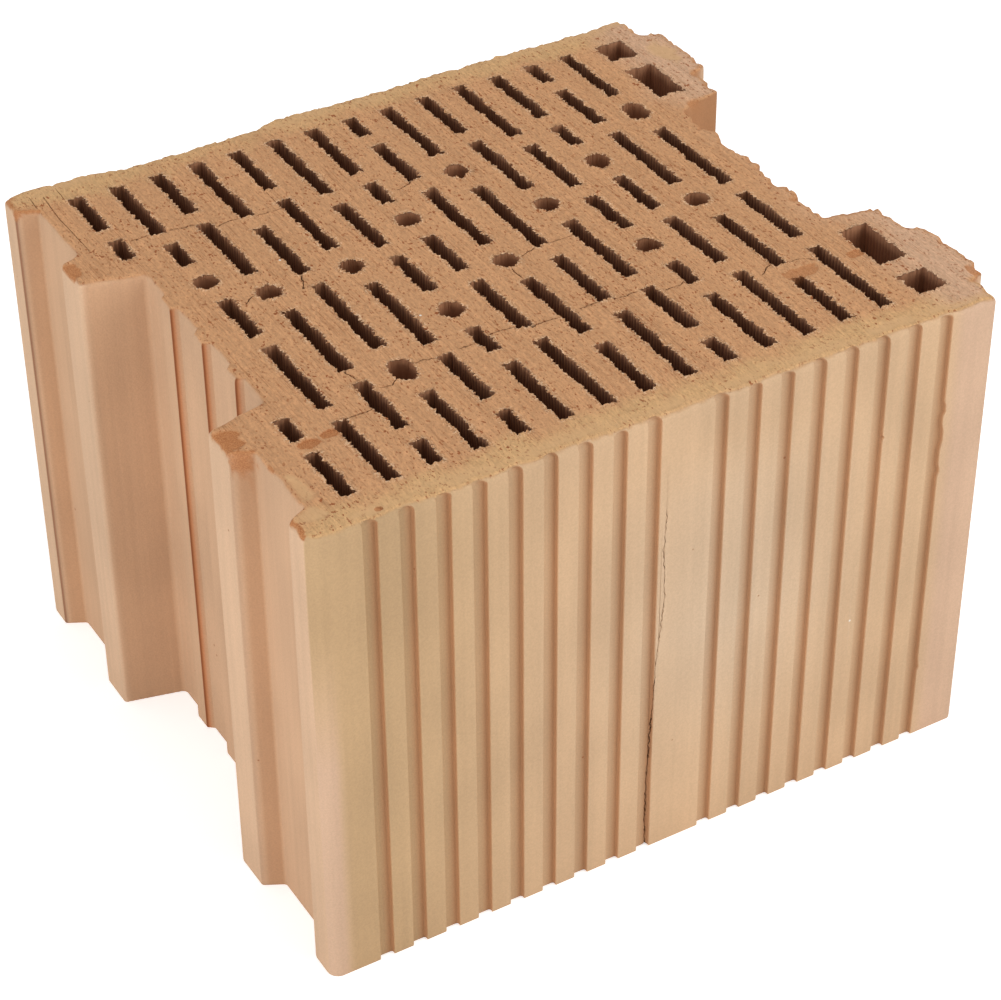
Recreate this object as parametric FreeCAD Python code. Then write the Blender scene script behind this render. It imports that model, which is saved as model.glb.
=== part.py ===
import FreeCAD, Part
import math
import os

# Hollow clay block, pushed through a die, wire-cut and fired as one piece.
# It stands on its bed face: X runs along the plaster faces, Y through the wall and Z along the
# perforations. The origin is on the floor, under the middle of the block and its tongues.
# All sizes are in millimetres.

# Body, without the tongues
BODY_LENGTH = 333.0
BODY_WIDTH = 300.0
BODY_HEIGHT = 238.0
LEFT_CORNER_RADIUS = 6.0
RIGHT_CORNER_RADIUS = 2.0

# Tongues of the right end, and the room that the left end's grooves give them
LIP_WIDTH = 17.0
TONGUE_HEIGHT = 9.0
TONGUE_TIP_WIDTH = 40.0
TONGUE_FLANK = 5.0
TONGUE_CLEARANCE = 0.5
RIDGE_WIDTH = 20.0
END_EDGE_RADIUS = 2.0

# Mortar pockets in the middle of both ends, with keying ribs on their floors
LEFT_POCKET_DEPTH = 29.0
RIGHT_POCKET_DEPTH = 25.5
POCKET_TAPER = 7.0
POCKET_CORNER_RADIUS = 3.0
RIB_PITCH = 31.0
RIB_WIDTH = 9.0
RIB_FLANK = 2.5
RIB_HEIGHT = 3.0

# Plaster grooves of the front and back faces
GROOVE_PITCH = 16.4
GROOVE_WIDTH = 7.0
GROOVE_DEPTH = 2.2
GROOVE_FLOOR_RADIUS = 1.5
GROOVE_END_MARGIN = 25.0

# Perforations
FACE_SHELL = 19.0
POCKET_WALL = 14.0
POCKET_SIDE_WALL = 16.0
WEB = 11.0
COLUMN_PITCH = 20.0
SLOT_WIDTH = 7.0
ROUND_DIAMETER = 12.0
OVAL_WIDTH = 11.0
OVAL_LENGTH = 16.5
GRIP_WIDTH = 15.0
GRIP_SETBACK = 20.0

# A column is a row of holes from the back shell to the front shell. A number is a slot's length in
# a block of this width, and the slots share in that proportion the room that the webs leave.
COLUMN_A = [55.0, 42.0, 32.0, "round", 19.5, 46.5]
COLUMN_B = [39.0, 48.5, "round", 53.0, 36.5, 18.0]
COLUMN_C = [55.0, 44.0, 57.0, "oval", 45.5]
COLUMN_D = [55.0, 41.0, 58.0, "round", 52.0]
COLUMN_FIRST = [47.0, 19.5, "round", 31.5, 51.0, 46.0]

# The columns from left to right, the reversed ones being the same column seen from the back
COLUMN_ORDER = [
    COLUMN_FIRST, COLUMN_B, COLUMN_C, COLUMN_B, COLUMN_A,
    COLUMN_A[::-1], COLUMN_B[::-1], COLUMN_D[::-1], COLUMN_B, COLUMN_A,
    COLUMN_A[::-1], COLUMN_B[::-1], COLUMN_C[::-1],
]

# Short stacks beside the pockets, from the face towards the pocket
END_STACK = [32.0, 16.0]
GRIP_STACK = [17.0, 31.0]

# Places that follow from the sizes above, in a frame centred on the body
HALF_LENGTH = BODY_LENGTH / 2
HALF_WIDTH = BODY_WIDTH / 2
TONGUE_FOOT = HALF_WIDTH - LIP_WIDTH
TONGUE_ROOT = TONGUE_FOOT - 2 * TONGUE_FLANK - TONGUE_TIP_WIDTH
POCKET_MOUTH = TONGUE_ROOT - RIDGE_WIDTH
POCKET_FLOOR = POCKET_MOUTH - POCKET_TAPER
LEFT_FLOOR_X = LEFT_POCKET_DEPTH - HALF_LENGTH
RIGHT_FLOOR_X = HALF_LENGTH - RIGHT_POCKET_DEPTH
CENTRING_SHIFT = -TONGUE_HEIGHT / 2

# A rounding takes at most this share of either line that it joins
ROUNDING_SHARE = 0.45


def point(x, y):
    """A point of the section, moved so that the whole block is centred on the origin."""
    return FreeCAD.Vector(x + CENTRING_SHIFT, y, 0)


def rounded_wire(corners):
    """Closes corners (x, y, radius) into a wire of lines and tangent arcs."""
    spots = [point(x, y) for x, y, _ in corners]
    starts = []
    ends = []
    middles = []
    for index, (_, _, radius) in enumerate(corners):
        corner = spots[index]
        before = spots[index - 1] - corner
        after = spots[(index + 1) % len(spots)] - corner
        half_angle = before.getAngle(after) / 2
        longest_reach = ROUNDING_SHARE * min(before.Length, after.Length)
        reach = min(radius / math.tan(half_angle), longest_reach)
        bisector = before.normalize() + after.normalize()
        arc_radius = reach * math.tan(half_angle)
        depth = arc_radius / math.sin(half_angle) - arc_radius
        starts.append(corner + before * reach)
        ends.append(corner + after * reach)
        middles.append(corner + bisector.normalize() * depth)
    edges = []
    for index, (_, _, radius) in enumerate(corners):
        if radius > 0:
            edges.append(Part.Arc(starts[index], middles[index], ends[index]).toShape())
        following = starts[(index + 1) % len(spots)]
        edges.append(Part.LineSegment(ends[index], following).toShape())
    return Part.Wire(edges)


def groove_places():
    """X of each plaster groove; the place just right of the middle stays plain."""
    count = 1 + int((BODY_LENGTH - 2 * GROOVE_END_MARGIN) // GROOVE_PITCH)
    first = -GROOVE_PITCH * (count - 1) / 2
    return [first + GROOVE_PITCH * place for place in range(count) if place != count // 2]


def plaster_face():
    """Corners of the front face from left to right, as (x, y, radius)."""
    corners = [(-HALF_LENGTH, -HALF_WIDTH, LEFT_CORNER_RADIUS)]
    for middle in groove_places():
        left = middle - GROOVE_WIDTH / 2
        right = middle + GROOVE_WIDTH / 2
        floor = GROOVE_DEPTH - HALF_WIDTH
        corners.append((left, -HALF_WIDTH, 0))
        corners.append((left, floor, GROOVE_FLOOR_RADIUS))
        corners.append((right, floor, GROOVE_FLOOR_RADIUS))
        corners.append((right, -HALF_WIDTH, 0))
    corners.append((HALF_LENGTH, -HALF_WIDTH, RIGHT_CORNER_RADIUS))
    return corners


def rib_places():
    """Y of each keying rib that fits on a pocket's floor."""
    room = POCKET_FLOOR - RIB_WIDTH / 2 - RIB_FLANK - POCKET_CORNER_RADIUS
    reach = int(room // RIB_PITCH)
    return [RIB_PITCH * step for step in range(-reach, reach + 1)]


def end_face(rise, spread, pocket_depth):
    """Corners of an end from front to back, as (height above the end, y, radius).

    Rise is the tongues' height, or minus the grooves' depth, and spread widens the grooves.
    """
    foot = TONGUE_FOOT + spread
    root = TONGUE_ROOT - spread
    half = [
        (0, -foot, END_EDGE_RADIUS),
        (rise, TONGUE_FLANK - foot, END_EDGE_RADIUS),
        (rise, -root - TONGUE_FLANK, END_EDGE_RADIUS),
        (0, -root, END_EDGE_RADIUS),
        (0, -POCKET_MOUTH, END_EDGE_RADIUS),
        (-pocket_depth, -POCKET_FLOOR, POCKET_CORNER_RADIUS),
    ]
    ribs = []
    for middle in rib_places():
        top = RIB_HEIGHT - pocket_depth
        ribs.append((-pocket_depth, middle - RIB_WIDTH / 2 - RIB_FLANK, 0))
        ribs.append((top, middle - RIB_WIDTH / 2, 0))
        ribs.append((top, middle + RIB_WIDTH / 2, 0))
        ribs.append((-pocket_depth, middle + RIB_WIDTH / 2 + RIB_FLANK, 0))
    mirrored = [(height, -y, radius) for height, y, radius in reversed(half)]
    return half + ribs + mirrored


def section_outline():
    """The outer wire, counter-clockwise from the front left corner."""
    front = plaster_face()
    right = end_face(TONGUE_HEIGHT, 0, RIGHT_POCKET_DEPTH)
    left = end_face(-TONGUE_HEIGHT - TONGUE_CLEARANCE, TONGUE_CLEARANCE, LEFT_POCKET_DEPTH)
    corners = list(front)
    corners += [(HALF_LENGTH + height, y, radius) for height, y, radius in right]
    corners += [(x, -y, radius) for x, y, radius in reversed(front)]
    corners += [(-HALF_LENGTH - height, y, radius) for height, y, radius in reversed(left)]
    return rounded_wire(corners)


def slot(x, y, width, length):
    """A square-cornered hole, its length along Y."""
    sides = [(-1, -1), (1, -1), (1, 1), (-1, 1)]
    return rounded_wire([(x + a * width / 2, y + b * length / 2, 0) for a, b in sides])


def round_hole(x, y):
    """A round hole."""
    axis = FreeCAD.Vector(0, 0, 1)
    return Part.Wire([Part.Circle(point(x, y), axis, ROUND_DIAMETER / 2).toShape()])


def oval_hole(x, y):
    """A hole with a half round at each end, its length along Y."""
    radius = OVAL_WIDTH / 2
    straight = max(OVAL_LENGTH - OVAL_WIDTH, 0) / 2
    right_side = Part.LineSegment(point(x + radius, y - straight), point(x + radius, y + straight))
    left_side = Part.LineSegment(point(x - radius, y + straight), point(x - radius, y - straight))
    back = Part.Arc(
        point(x + radius, y + straight), point(x, y + straight + radius), point(x - radius, y + straight))
    front = Part.Arc(
        point(x - radius, y - straight), point(x, y - straight - radius), point(x + radius, y - straight))
    return Part.Wire([edge.toShape() for edge in (right_side, back, left_side, front)])


def hole_stack(x, width, start, stop, holes):
    """Holes in a row along Y from start to stop, with a web between each two."""
    fixed = {"round": ROUND_DIAMETER, "oval": OVAL_LENGTH}
    heading = math.copysign(1, stop - start)
    slot_room = abs(stop - start) - WEB * (len(holes) - 1)
    slot_room -= sum(fixed[hole] for hole in holes if hole in fixed)
    share = slot_room / sum(hole for hole in holes if hole not in fixed)
    wires = []
    edge = start
    for hole in holes:
        length = fixed[hole] if hole in fixed else hole * share
        middle = edge + heading * length / 2
        if hole == "round":
            wires.append(round_hole(x, middle))
        elif hole == "oval":
            wires.append(oval_hole(x, middle))
        else:
            wires.append(slot(x, middle, width, length))
        edge += heading * (length + WEB)
    return wires


def perforations():
    """Wires of all the holes: full columns between the pockets, and a short stack beside each."""
    shell = HALF_WIDTH - FACE_SHELL
    beside_pocket = POCKET_FLOOR + POCKET_SIDE_WALL
    room = RIGHT_FLOOR_X - LEFT_FLOOR_X - 2 * POCKET_WALL - SLOT_WIDTH
    count = 1 + int(room // COLUMN_PITCH)
    first = (LEFT_FLOOR_X + RIGHT_FLOOR_X - COLUMN_PITCH * (count - 1)) / 2
    wires = []
    for place in range(count):
        column = COLUMN_ORDER[place % len(COLUMN_ORDER)]
        wires += hole_stack(first + COLUMN_PITCH * place, SLOT_WIDTH, shell, -shell, column)
    for side in (1, -1):
        wires += hole_stack(first - COLUMN_PITCH, SLOT_WIDTH, side * shell, side * beside_pocket, END_STACK)
        grip_x = HALF_LENGTH - GRIP_SETBACK
        wires += hole_stack(grip_x, GRIP_WIDTH, side * shell, side * beside_pocket, GRIP_STACK)
    return wires


def clay_block():
    """The section with its holes, drawn up to the block's height."""
    section = Part.makeFace([section_outline()] + perforations(), "Part::FaceMakerBullseye")
    return section.extrude(FreeCAD.Vector(0, 0, BODY_HEIGHT))


os.makedirs("parts", exist_ok=True)
block = clay_block()
block.exportStep("parts/clay_block.step")
box = block.BoundBox
print("clay_block", block.ShapeType, "valid", block.isValid(), "volume in litres", round(block.Volume / 1e6, 3))
print("length, width and height", round(box.XLength, 3), round(box.YLength, 3), round(box.ZLength, 3))
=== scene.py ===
"""Looks of the hollow clay block: one fired piece with its cut, torn and chipped surfaces."""

import itertools
import math

import bpy
import numpy as np
from mathutils import Matrix, Vector, geometry, kdtree


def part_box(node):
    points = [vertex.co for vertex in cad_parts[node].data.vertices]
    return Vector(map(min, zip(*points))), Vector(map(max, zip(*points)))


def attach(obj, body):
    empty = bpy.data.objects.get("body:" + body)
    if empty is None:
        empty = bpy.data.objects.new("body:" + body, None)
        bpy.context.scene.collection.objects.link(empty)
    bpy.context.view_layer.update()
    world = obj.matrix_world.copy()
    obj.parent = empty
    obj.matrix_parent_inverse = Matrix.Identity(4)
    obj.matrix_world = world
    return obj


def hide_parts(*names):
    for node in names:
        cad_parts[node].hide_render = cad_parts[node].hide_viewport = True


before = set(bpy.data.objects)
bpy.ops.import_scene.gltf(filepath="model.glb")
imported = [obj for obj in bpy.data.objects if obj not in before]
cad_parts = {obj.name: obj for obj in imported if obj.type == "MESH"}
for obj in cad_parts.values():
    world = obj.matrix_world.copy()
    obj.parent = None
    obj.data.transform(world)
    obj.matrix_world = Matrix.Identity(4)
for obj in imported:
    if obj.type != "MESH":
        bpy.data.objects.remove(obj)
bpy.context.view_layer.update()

# Lengths are millimetres in the part's frame, apart from the studio's, and METRE turns them into Blender's
# units. Angles are degrees.
METRE = 0.001
NODE = "clay_block"
BODY = "root"
LOW, HIGH = (np.array(corner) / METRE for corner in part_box(NODE))
TOP = HIGH[2]
FRONT, BACK = LOW[1], HIGH[1]
LEFT, RIGHT = LOW[0], HIGH[0]

# Seeds, so that every run draws the same block, and the numbers that mix a seed with a place into a value.
# Waves, below, are layers of noise, each with its height, cell size and seed.
TOOTH_CHANCE_SEED = 81
FRONT_CRACK_SEED = 91
TOP_GRID_SEED = 101
BOTTOM_GRID_SEED = 106
TOP_CRACK_SEED = 111
SCRATCH_SEED = 211
SEEDS_PER_CRACK = 3
HASH_SPREAD = 2654435761
HASH_PRIMES = (73856093, 19349663, 83492791)
HASH_SHIFTS = (np.uint64(15), np.uint64(13))
HASH_MIX = np.uint64(2246822519)
HASH_MASK = np.uint64(0xFFFFFFFF)
HASH_STEPS = 65536

# How finely the outlines and faces are divided.
OUTLINE_TOLERANCE = 0.06
KEY_DIGITS = 3
START_TIE = 0.001
WALL_SPACING = 1.7
CORNER_GAP = 0.4
LONG_RUN_GAPS = 4
NORMAL_STRETCH = 4.0
NORMAL_SAMPLES = 9
HOLE_SPACING = 0.75
TOP_SPACING = 1.9
BOTTOM_SPACING = 6.0
ROW_RATIO = 0.87
GRID_CELL = 0.37
GRID_JITTER = 0.28
EDGE_CLEARANCE = 1.2
BORDER_CLEARANCE = 0.6
ROW_CLEARANCE = 0.3
WHOLE_HULL = 0
MERGE_DISTANCE = 1e-6
TINY = 1e-9
SHARP_ANGLE = 42
WALL_ROWS = [0, 0.4, 1.0, 1.7, 2.5, 3.4, 4.4, 5.6, 7.2, 10, 14, 22, 50, 120, 190, 230, 236.5, 237.6, 238]
# Rows down a hole's wall: depth, share of the dark hollow colour, and share of the comb's pale stripes. The
# hollow colour is the walls' clay with painted shade, and the smaller stripe share deeper down paints more
# shade.
HOLE_ROWS = [(0.0, 0.0, 1.0), (0.6, 0.85, 1.0), (7.0, 1.0, 0.8), (TOP - 4, 1.0, 0.8), (TOP, 0.0, 1.0)]

# The die's comb in each kind of hole: its depth, the shares of it by which gaps and ribs stand in from
# the plain outline, and how pale gaps and ribs are: pale ribs and dark gaps are painted light and shade.
SLOT_LIMIT = 9.0
GRIP_LIMIT = 14.0
POINTS_PER_RIB = 3
SLOT_COMB = {"depth": 0.38, "shares": (-0.7, 1.3), "stripes": (0.15, 0.9)}
ROUND_COMB = {"depth": 0.0, "shares": (0.0, 0.0), "stripes": (0.85, 0.85)}
GRIP_COMB = {"depth": 0.14, "shares": (-1.0, 2.0), "stripes": (0.62, 1.0)}

# The cutting wire's tears at the rims of the holes: teeth, the comb that stays open, and the raised lip.
HOLE_APART = 17.3
CORNER_TURN = 0.7
CORNER_CALM = 2.6
FAR_SIDE_TURN = -0.5
TOOTH_REACH = 0.85
LONG_TOOTH_REACH = 1.1
TOOTH_MEAN = 0.1
TOOTH_CHANCE = 0.75
TOOTH_WAVES = [(0.75, 3.4, 82)]
TOOTH_LIMITS = (-0.75, 1.4)
RIM_WAVES = [(0.35, 9.0, 85)]
# Painted light: the slots' end walls that face the front are made paler, as if lit.
END_WALL_LIT = 0.6
END_WALL_TURN = (0.4, 0.8)
NEAR_COMB_OPEN = 0.35
FAR_COMB_OPEN = 0.7
OPEN_COMB_WAVES = [(0.8, 6.0, 86)]
OPEN_COMB_MOST = 1.2
LIP_RISE = 0.95
LIP_MEAN = 0.1
LIP_WAVES = [(0.6, 1.2, 83), (0.5, 5.0, 84)]
LIP_DEPTH = 0.6
TORN_DEPTH = 0.9
TORN_BELOW = 0.5
RIM_RELIEF_DEPTH = 6
HOLE_CHIP_DEPTH = 2

# Front-facing flanks of the left end, by their reach across y: how much painted shade the flank gets, from
# its edge to its foot, how dark the painted shadow line along its edge is, and how far that line reaches.
SHADED_FLANKS = [
    {"between": (-45.0, 45.0), "flank_shade": 1.0, "seam": 0.95, "edge_shadow_reach": 1.3},
    {"between": (126.0, 137.0), "flank_shade": 0.0, "seam": 0.9, "edge_shadow_reach": 1.7},
    {"between": (-90.0, -79.0), "flank_shade": 0.0, "seam": 0.3, "edge_shadow_reach": 1.7},
]
SHADED_FLANK_TURN = (0.15, 0.6)
SHADED_FLANK_BORDER = (0.1, 0.9)
EDGE_SHADOW_START = 0.2

# Crumbled places at the top of the left end's walls: centre, half length along the wall, and depth.
CRUMBLED = [
    {"centre": (-166.2, -85.0), "reach": 6.5, "depth": 14.0},
    {"centre": (-170.5, 133.5), "reach": 4.0, "depth": 4.5},
    {"centre": (-171.0, 141.5), "reach": 8.5, "depth": 1.5},
    {"centre": (-165.5, 130.5), "reach": 6.0, "depth": 1.7},
]
CRUMBLED_STAIN = 0.8
CRUMBLED_WAVES = [(0.3, 3.0, 56), (0.25, 1.2, 57)]
CRUMBLED_BORDER = (0.6, 1.1)

# The groove ends that the cutting wire smeared shut along the top of the plaster faces.
PLASTER_BAND = 4
GROOVE_DEPTH_LIMIT = 3.0
GROOVE_MARGIN = 20.0
GROOVE_START = 0.05
GROOVE_LEAST = 0.1
SMEAR_HEIGHT = 0.4
SMEAR_ARCH = 1.8
SMEAR_FADE = 1.5
GROOVE_END_WAVES = [(0.5, 9, 71)]

# The outside's worn and torn top edge, by the side of the block, and its swell.
RIGHT_END_REACH = 45
EDGE_ROUNDING = {"left": 1.2, "front": 2.3, "back": 2.3, "right": 0.6}
EDGE_RAGGEDNESS = {"left": 0.3, "front": 0.15, "back": 0.6, "right": 1.0}
ROUNDING_WAVES = [(0.35, 11, 72)]
ROUNDING_DEPTH = 1.6
TEAR_MEAN = 0.6
TEAR_WAVES = [(0.9, 7, 73), (1.1, 2.2, 74)]
TEAR_LIMITS = (-0.4, 3)
TEAR_DEPTH = 2.2
TEAR_DROP = 0.25
TEAR_DROP_MOST = 2
FOOT_INSET = 0.35
FOOT_HEIGHT = 1.2
SWELL_WAVES = [(0.12, (30, 90), 75)]
BACK_DENT = {"start": (-132, -112), "end": (-48, -30), "inset": 4.0, "depth": 9}
CHIP_END = 0.6
CHIP_END_WAVES = [(0.5, 2.5, 76)]
CHIP_FADE = 0.7
BROKEN_RIM_SHARE = 0.35
BROKEN_RIM_MOST = 0.7
BROKEN_RIM_DEPTH = 2.5
CUT_START = 0.2
CUT_END = 0.9
CUT_END_WAVES = [(0.6, 3, 77)]
CUT_FADE = 0.3

# The sides' tints: shares, and where each rises or falls across, up or into the block; some are painted
# shade.
DUST_MIDDLE = 28
DUST_REACH = 55
DUST_RISE = (20, 110)
DUST_FALL = (165, 215)
DUST_FALL_SHARE = 0.9
SAND_FADE = (LEFT + 18, LEFT + 130)
PINK_ACROSS = (LEFT + 6, LEFT + 13)
PINK_UP = (140, 185)
RIGHT_BLUSH = (RIGHT - 34, RIGHT - 24)
END_BLUSH = 0.6
# Painted shade in the grooves, growing towards each groove's right wall and a little less to the right.
GROOVE_SHADE = (-0.6, 1.0)
GROOVE_SHADE_DEPTH = 0.3
GROOVE_PAINTED_SHADE = 0.95
GROOVE_PAINTED_SHADE_FALL = 0.1
GROOVE_PAINTED_SHADE_FADE = (-110, 60)
# Bare clay with painted shade in the end recesses: more on flanks that face front or back, all over the
# right end's recess.
FLANK_TURN = (0.25, 0.7)
LEFT_BARE_AND_SHADE = 0.28
INNER_FLANK_BARE_AND_SHADE = 0.45
OUTER_FLANK_BARE_AND_SHADE = 0.60
OUTER_FLANK_START = 75
LEFT_RECESS = (0.5, 4)
RIGHT_RECESS = (1, 8)

# The wire-cut top: its relief, and where it is sandy or pale.
TOP_WAVES = [(0.3, (45, 60), 11), (0.16, (4.5, 40), 12), (0.12, (3.8, 9), 13), (0.10, 3.9, 14)]
TOP_SINK = 0.35
RELIEF_REACH = 45
SAND_WAVES = [(6, 14, 61), (3, 4, 62)]
SAND_BORDER = (7, 24)
PALE_WAVES = [(10, 25, 58)]
PALE_BORDER = (122, 160)

# Broken places on the top: centre, half sizes across x and y, how deep they go, which way they lean, and
# how orange the broken clay is.
CHIPS = [
    ((-170.0, 75.5), (5.2, 6.8), 1.8, (-1.0, 0.0), 0.9),
    ((-170.5, -73.6), (8.6, 8.6), 2.6, (-1.0, 0.0), 1.0),
    ((-161.0, -117.0), (5.0, 8.0), 1.6, (-1.0, 0.0), 0.1),
    ((-161.5, -100.3), (1.6, 2.4), 0.9, (-1.0, 0.0), 0.8),
    ((-140.4, -92.7), (5.0, 2.8), 0.8, (0.4, 1.0), 1.0),
    ((-130.2, -90.8), (4.0, 2.6), 0.8, (0.4, 1.0), 1.0),
    ((101.9, -90.0), (8.5, 4.0), 0.5, (1.0, 0.0), 0.7),
    ((130.4, -90.0), (4.5, 3.0), 0.6, (1.0, 0.0), 0.9),
    ((-171.8, -139.5), (3.5, 7.5), 2.4, (-1.0, 0.0), 1.0),
    ((-137.1, -144.9), (1.8, 1.2), 1.1, (1.0, 0.0), 0.8),
    ((168.0, -128.0), (4.0, 5.0), 3.0, (1.0, -0.4), 0.8),
]
CHIP_SQUARENESS = 3.2
CHIP_EDGE_WAVES = [(0.16, 3.0, 51), (0.10, 1.3, 52)]
CHIP_ROUGH_WAVES = [(0.12, 2.4, 53)]
CHIP_BORDER = (0.94, 1.0)
CHIP_BORDER_RINGS = (0.91, 1.03)
CHIP_BORDER_STEP = 0.9
CHIP_SLOPE_MIDDLE = 0.55
CHIP_SLOPE = 0.45
CHIP_SLOPE_LEAST = 0.12

# Places on the top where the wire smeared the clay smooth: centre and half sizes across x and y.
SMEARS = [
    ((-161.8, -135.4), (7.0, 5.0)),
    ((-158.5, -117.0), (5.0, 9.0)),
    ((-140.0, -146.0), (9.0, 3.5)),
    ((161.3, 109.1), (6.0, 13.0)),
    ((109.0, -144.0), (14.0, 4.0)),
    ((137.0, -146.5), (13.0, 4.0)),
]
SMEAR_WAVES = [(0.3, 4.0, 54)]
SMEAR_BORDER = (0.7, 1.1)
# Along the plaster faces runs a smeared strip as well.
STRIP_WAVES = [(5, (16, 7), 55)]
STRIP_BORDER = (2, 10)
STRIP_SMOOTHNESS = 0.8

# Cracks across the webs of the top face, as runs of places on it.
TOP_CRACKS = [
    [(-104.5, -54), (-103, -60), (-101.5, -65)],
    [(-96.5, -73), (-92, -73.5), (-88.5, -71)],
    [(-78.5, -65), (-72, -64), (-66.5, -66)],
    [(-54.5, -65), (-45, -64.5), (-38, -61.5), (-29.5, -62)],
    [(-19.5, -66), (-13, -65), (-7.5, -66)],
    [(5.5, -65), (9, -64), (13.5, -65)],
    [(20.5, -66), (28, -66.5), (34.5, -66)],
    [(5.5, -15.5), (15.5, -12), (19.5, -12), (33.5, -13)],
    [(-4, -23), (-4.5, -28), (-4, -32)],
    [(43.5, -72), (50, -72), (55.5, -70)],
    [(86.5, -83), (91, -79), (95.5, -78)],
    [(100.5, -80), (107, -81), (113.5, -85)],
    [(-100.5, 75), (-92, 77.5), (-85.5, 77)],
    [(-117.5, 84), (-105.5, 82)],
    [(-136.5, 84), (-125.5, 85)],
    [(-79.5, 75), (-72, 74.5), (-65.5, 75)],
    [(-115.5, 13), (-112, 16), (-109.5, 17)],
    [(-88.5, 12), (-84.5, 20)],
    [(-13.5, 62), (-8, 63), (-3.5, 66)],
    [(-119.5, -85), (-107.5, -85)],
]
# Scratches that the wire drew along the top face.
SCRATCHES = [
    [(-154.4, 139.0), (-155.8, 120.0), (-155.5, 86.0)],
    [(-160.1, 142.0), (-161.0, 129.5)],
    [(-146.7, 143.0), (-147.2, 127.0)],
    [(-66.0, 110.0), (-66.4, 70.0), (-65.8, 30.0)],
]
# The dark colour in the cracks is painted shade inside them; the scratches take it weaker.
TOP_CRACK_HALF_WIDTH = 0.32
TOP_CRACK_DEPTH = 2.5
SCRATCH_HALF_WIDTH = 0.17
SCRATCH_WANDER = 0.06
SCRATCH_DARKNESS = 0.55
CRACK_STEP = 0.7
CRACK_WANDER = 0.35
CRACK_SWAY_CELLS = (2.2, 0.9)
CRACK_WIDTH_CELL = 3.0
CRACK_WIDTH_CHANGE = 0.35

# The long crack down the front, as places across and up the face.
FRONT_CRACK = [
    (-5.7, 189), (-6.3, 168), (-5.2, 141), (-7.6, 119), (-9.0, 103),
    (-9.215, 80), (-9.7, 63), (-10.5, 27), (-10.3, 0),
]
FRONT_CRACK_HALF_WIDTHS = (0.14, 0.34)
# How dark the painted shade inside the front crack is.
FRONT_CRACK_DARKNESS = 0.5
FRONT_CRACK_DEPTH = 3.0

# White lime specks in the clay: a middle point and rings around it.
TOP_SPECKS = [(-87.3, 35.9), (-56.3, -34.2)]
FRONT_SPECKS = [(95.8, 87.2)]
SPECK_RADIUS = 0.75
SPECK_RINGS = (0.5, 1.0)
SPECK_SIDES = 6
SPECK_POINTS = 1 + len(SPECK_RINGS) * SPECK_SIDES
SPECK_FADE = 0.4

# Nicks in the right edges of the front grooves: the edge's x, the nick's height, its reach up and down,
# and how far it shifts the edge.
FRONT_NICKS = [
    {"edge": 138.4, "height": 187.0, "reach": 4.5, "shift": 1.1},
    {"edge": 138.4, "height": 173.0, "reach": 8.0, "shift": 1.0},
    {"edge": 138.4, "height": 155.0, "reach": 4.0, "shift": 0.8},
    {"edge": 138.4, "height": 41.6, "reach": 2.2, "shift": 0.8},
    {"edge": 105.6, "height": 184.0, "reach": 1.8, "shift": 0.9},
]
NICK_WIDTH = 2.2
NICK_SPACING = 1.1
NICK_CORE = 0.3
NICK_BORDER = (0.2, 0.9)
NICK_WAVES = [(1.2, 2.6, 78)]

# Camera, found by matching the block's corners and holes to the photograph.
CAMERA_PLACE = (-545.5, -934.4, 904.1)
CAMERA_TARGET = (-13.8, -27.6, 119.0)
CAMERA_ROLL = -0.467
CAMERA_LENS = 103.3
SENSOR_WIDTH = 36.0
CLIP_START = 50

# The studio, in metres and watts: a key lamp from the front right, one low from the left and one above.
LAMPS = {
    "front_lamp": {"place": (1.45, -1.75, 1.4), "size": 1.9, "watts": 31.5},
    "left_lamp": {"place": (-2.0, -0.75, 0.42), "size": 1.0, "watts": 20},
    "top_lamp": {"place": (0.0, 0.2, 2.4), "size": 1.6, "watts": 12.5},
}
LAMP_TARGET = (0, 0, 0.12)
SKY_LIGHT = 0.45
WHITE = (1, 1, 1, 1)
FLOOR_COLOUR = (0.9, 0.9, 0.9, 1)
FLOOR_ROUGHNESS = 0.95
FLOOR_GLOW = 0.52
FLOOR_RADIUS = 2.4
FLOOR_SIDES = 96


def lattice_value(cell, seed):
    """A fixed value from -1 to 1 for each whole-numbered cell."""
    mixed = np.full(len(cell), seed * HASH_SPREAD % 2**32, dtype=np.uint64)
    for column, prime in zip(cell.T, HASH_PRIMES):
        mixed ^= column.astype(np.uint64) * np.uint64(prime)
        mixed ^= mixed >> HASH_SHIFTS[0]
        mixed *= HASH_MIX
        mixed &= HASH_MASK
        mixed ^= mixed >> HASH_SHIFTS[1]
    return (mixed % np.uint64(HASH_STEPS)).astype(float) / ((HASH_STEPS - 1) / 2) - 1


def eased(part):
    """A smooth rise from 0 to 1 in place of an even one."""
    return part * part * (3 - 2 * part)


def noise(places, cell_size, seed):
    """Smooth noise from -1 to 1 at each place, with cells of the given size along each axis."""
    scaled = np.asarray(places, float) / np.asarray(cell_size, float)
    if scaled.ndim == 1:
        scaled = scaled[:, None]
    cell = np.floor(scaled).astype(np.int64)
    weight = eased(scaled - cell)
    total = np.zeros(len(scaled))
    for corner in itertools.product((0, 1), repeat=scaled.shape[1]):
        share = np.prod(np.where(corner, weight, 1 - weight), axis=1)
        total += share * lattice_value(cell + np.array(corner), seed)
    return total


def layered(places, waves, level=0.0):
    """A level with layers of noise added to it."""
    for height, cell_size, seed in waves:
        level = level + height * noise(places, cell_size, seed)
    return level


def smooth_step(value, start, end):
    """0 before start, 1 after end, and a smooth rise between."""
    return eased(np.clip((value - start) / (end - start), 0, 1))


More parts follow.
